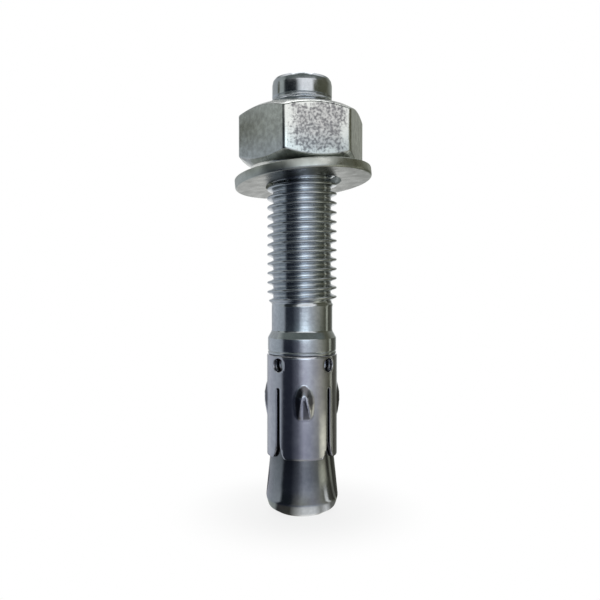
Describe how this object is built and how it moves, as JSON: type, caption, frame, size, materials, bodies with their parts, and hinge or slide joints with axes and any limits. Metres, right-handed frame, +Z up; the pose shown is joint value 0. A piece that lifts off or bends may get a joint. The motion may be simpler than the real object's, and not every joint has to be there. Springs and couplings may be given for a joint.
{
  "type": "wedge anchor",
  "caption": "Zinc-plated steel wedge anchor: threaded stud with a cone at its lower end, slotted expansion sleeve, flat washer and hex nut.",
  "frame": {"origin": "centre of the flat end of the cone, which the anchor stands on", "axes": "+Z up along the stud's axis to its plain tip; -Y is the side that the picture shows"},
  "size_m": [0.0236, 0.0236, 0.0739],
  "materials": {
    "stud_zinc": "bright zinc plating on turned and rolled steel",
    "sleeve_zinc": "bright zinc plating on bent sheet steel",
    "washer_zinc": "satin zinc plating on stamped steel",
    "nut_zinc": "mottled zinc plating on forged steel"
  },
  "bodies": {
    "stud": {"stud": "stud_zinc"},
    "sleeve": {"expansion_sleeve": "sleeve_zinc"},
    "washer": {"washer": "washer_zinc"},
    "nut": {"nut": "nut_zinc"}
  },
  "joints": [
    {"name": "sleeve_turn", "type": "hinge", "parent": "stud", "child": "sleeve", "pos_m": [0, 0, 0.0185], "axis": [0, 0, 1], "continuous": true},
    {"name": "washer_travel", "type": "slide", "parent": "stud", "child": "washer", "axis": [0, 0, 1], "range_m": [-0.0218, 0.0096]},
    {"name": "nut_turn", "type": "hinge", "parent": "washer", "child": "nut", "pos_m": [0, 0, 0.0638], "axis": [0, 0, 1], "range_deg": [-4915, 2170]}
  ],
  "couplings": [
    {"joint": "nut_turn", "follows": "washer_travel", "rad_per_m": 3927}
  ]
}
